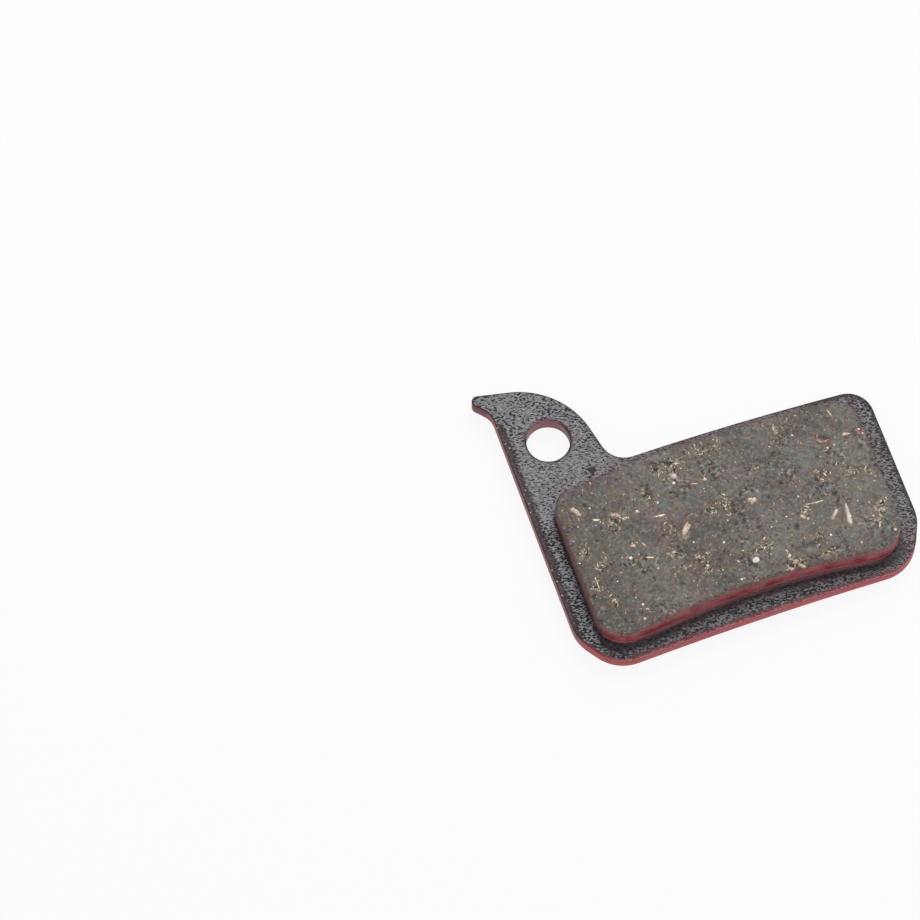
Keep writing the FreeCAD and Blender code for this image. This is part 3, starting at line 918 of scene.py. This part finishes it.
# Each flake has its place, its length, its width and its angle in degrees.
placed_flakes = [
    (8.65, -13.45, 2.0, 0.70, 48), (15.5, -12.7, 1.05, 0.72, 1), (26.0, -9.2, 1.0, 0.46, -14),
    (-0.3, -8.6, 1.5, 0.55, -62), (3.0, -10.0, 1.2, 0.5, -17), (3.7, -10.6, 0.65, 0.38, 5),
    (12.0, -9.3, 0.55, 0.36, 9), (11.0, -9.4, 0.75, 0.15, -14), (3.5, -13.4, 0.7, 0.4, -16),
    (25.3, -6.7, 1.0, 0.16, -75), (23.9, -10.0, 0.45, 0.3, -79), (16.7, -18.5, 0.5, 0.22, -60),
    (16.74, -19.07, 0.6, 0.45, 60), (16.75, -19.4, 0.6, 0.36, -15), (17.06, -19.74, 0.9, 0.55, 40),
    (17.45, -20.28, 1.0, 0.44, -33), (19.3, -15.8, 0.9, 0.4, -50), (19.6, -15.4, 0.6, 0.26, 30),
    (22.0, -11.8, 0.6, 0.2, 10), (22.7, -12.4, 0.6, 0.24, -70), (22.3, -12.8, 0.5, 0.2, -10),
    (8.8, -16.4, 0.5, 0.3, 30), (9.3, -17.5, 0.4, 0.36, 0), (6.8, -15.2, 0.5, 0.3, -20)]
for row in placed_flakes:
    flake(copper, *row)
sliver(curled, 24.53, -8.90, 2.25, 0.60, -33, 3.94, curl_level, wobble=0.0)
for px, py in scatter(35, margin=0.4):
    flake(copper, px, py, picker.uniform(0.15, 0.45), picker.uniform(0.1, 0.2), picker.uniform(0, 180))
copper_finish = metal_finish("copper_finish", paint(112, 99, 89), paint(162, 148, 136))
curl_finish = metal_finish("curl_finish", paint(86, 65, 62), paint(124, 102, 98))
bar_finish = metal_finish("bar_finish", paint(126, 116, 109), paint(168, 158, 150))
for name, store, finish in [("copper_flakes", copper, copper_finish), ("copper_turning", curled, curl_finish),
                            ("pale_turnings", bars, bar_finish)]:
    flakes = new_piece(name, *store, finish)
    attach(flakes, "root")
metal_points = brass[0] + copper[0] + curled[0] + bars[0]
nearest_metal = kdtree.KDTree(len(metal_points))
for number, point in enumerate(metal_points):
    nearest_metal.insert(point, number)
nearest_metal.balance()
metal_gaps = np.array([nearest_metal.find(point)[2] for point in face_points])
write_mark(block, "smear", np.exp(-(metal_gaps / smear_reach) ** 2))


# Mineral grains
# Hard pale grains, of alumina and glass, that set how hard the compound bites. They stand a hair proud
# of the softer binder, as small rounded dots.
def grain(store, x, y, size):
    """Adds one rounded grain to the lists of points and faces."""
    vertices, polygons = store
    sides = 9
    start = len(vertices)
    stretch = picker.uniform(0.7, 1.3)
    for scale, rise in ((1.0, -0.06), (0.92, -0.004), (0.5, 0.009)):
        for k in range(sides):
            around = 2 * math.pi * k / sides
            reach = size / 2 * scale * picker.uniform(0.88, 1.1)
            vertices.append((x + reach * math.cos(around) * stretch, y + reach * math.sin(around),
                             metal_level + rise))
    vertices.append((x, y, face_height))
    close_dome(polygons, start, sides)


pale = ([], [])
# Each grain has its place and its width.
placed_grains = [
    (13.7, -18.4, 0.66), (9.4, -8.0, 0.60), (9.2, -8.7, 0.30), (1.0, -8.6, 0.26), (7.1, -10.1, 0.28),
    (8.9, -14.9, 0.25), (11.5, -15.8, 0.25), (2.9, -14.5, 0.36), (16.2, -15.8, 0.24), (21.1, -18.3, 0.26),
    (23.5, -19.9, 0.28), (26.9, -19.7, 0.28), (2.4, -19.2, 0.26), (2.1, -20.6, 0.34), (11.8, -19.8, 0.25),
    (27.3, -9.1, 0.24), (27.5, -9.6, 0.22), (19.6, -13.7, 0.30)]
for row in placed_grains:
    grain(pale, *row)
sliver(pale, 1.2, -9.8, 0.72, 0.28, -8, 0.9)
for px, py in scatter(100, margin=0.2):
    grain(pale, px, py, picker.uniform(0.07, 0.18))
grain_finish, tree, shader = new_material("grain_finish")
grain_shade = mottle(millimetres(tree), 2.4, 14.0, 1.0)
grain_colour = mix(ramp(grain_shade, 0.25, 0.6), paint(174, 165, 149), paint(248, 241, 224))
feed(shader["Base Color"], grain_colour)
feed(shader["Roughness"], scaled(grain_shade, 0.3, 0.3))
grains = new_piece("mineral_grains", *pale, grain_finish)
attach(grains, "root")


# Studio
# A white sheet under the pad, clear from below so that the back can be seen, in a white surround that
# also gives the sheet's bounce. A wide soft lamp stands behind the pad, to its right.
reach = 2.0
floor_z = -0.00002
floor_mesh = bpy.data.meshes.new("white_sheet")
floor_mesh.from_pydata([(-reach, -reach, floor_z), (reach, -reach, floor_z), (reach, reach, floor_z),
                        (-reach, reach, floor_z)], [], [(0, 1, 2, 3)])
floor = bpy.data.objects.new("white_sheet", floor_mesh)
bpy.context.scene.collection.objects.link(floor)


def seen_rays(tree):
    """1 for rays that show a surface to the camera, straight or by way of gloss or glass."""
    ray = tree.nodes.new("ShaderNodeLightPath").outputs
    return larger(ray["Is Camera Ray"], larger(ray["Is Glossy Ray"], ray["Is Transmission Ray"]))


sheet_finish, tree, shader = new_material("sheet_finish")
shader["Base Color"].default_value = (0.93, 0.93, 0.93, 1.0)
shader["Roughness"].default_value = 0.9
shader["Specular IOR Level"].default_value = 0.0
glow = tree.nodes.new("ShaderNodeEmission")
glow.inputs["Strength"].default_value = 1.0
from_above = tree.nodes.new("ShaderNodeMixShader")
feed(from_above.inputs[0], times(seen_rays(tree), 0.9))
feed(from_above.inputs[1], tree.nodes["Principled BSDF"].outputs[0])
feed(from_above.inputs[2], glow.outputs[0])
side_seen = tree.nodes.new("ShaderNodeNewGeometry")
clear = tree.nodes.new("ShaderNodeBsdfTransparent")
either_side = tree.nodes.new("ShaderNodeMixShader")
feed(either_side.inputs[0], side_seen.outputs["Backfacing"])
feed(either_side.inputs[1], from_above.outputs[0])
feed(either_side.inputs[2], clear.outputs[0])
feed(tree.nodes["Material Output"].inputs["Surface"], either_side.outputs[0])
floor_mesh.materials.append(sheet_finish)
floor.visible_diffuse = False
floor.visible_glossy = False
floor.visible_shadow = False

world = bpy.data.worlds.new("white_surround")
bpy.context.scene.world = world
world.use_nodes = True
tree = world.node_tree
direction = tree.nodes.new("ShaderNodeTexCoord")
from_sheet = ramp(split(direction.outputs["Generated"])[2], 0.02, -0.02)
ambient = scaled(from_sheet, 0.45, 0.5)
surround = tree.nodes["Background"]
surround.inputs["Color"].default_value = (1.0, 1.0, 1.0, 1.0)
feed(surround.inputs["Strength"], larger(seen_rays(tree), ambient))

pad_middle = Vector((0.012, -0.010, 0.002))
lamp_data = bpy.data.lights.new("soft_lamp", "AREA")
lamp_data.shape = "DISK"
lamp_data.size = 0.35
lamp_data.energy = 1.4
lamp = bpy.data.objects.new("soft_lamp", lamp_data)
lamp.location = pad_middle + Vector((0.18, 0.26, 0.39))
lamp.rotation_mode = "QUATERNION"
lamp.rotation_quaternion = (pad_middle - lamp.location).to_track_quat("-Z", "Y")
bpy.context.scene.collection.objects.link(lamp)

camera_data = bpy.data.cameras.new("photo_camera")
camera_data.lens = 190.03
camera_data.sensor_width = 36.0
camera = bpy.data.objects.new("photo_camera", camera_data)
camera.location = (-0.06857, -0.174935, 0.41375)
aim = Vector((-0.008149, 0.001594, 0.0))
camera.rotation_mode = "QUATERNION"
camera.rotation_quaternion = (aim - camera.location).to_track_quat("-Z", "Y")
bpy.context.scene.collection.objects.link(camera)
bpy.context.scene.camera = camera
bpy.context.scene.view_settings.view_transform = "Standard"

bpy.context.view_layer.update()
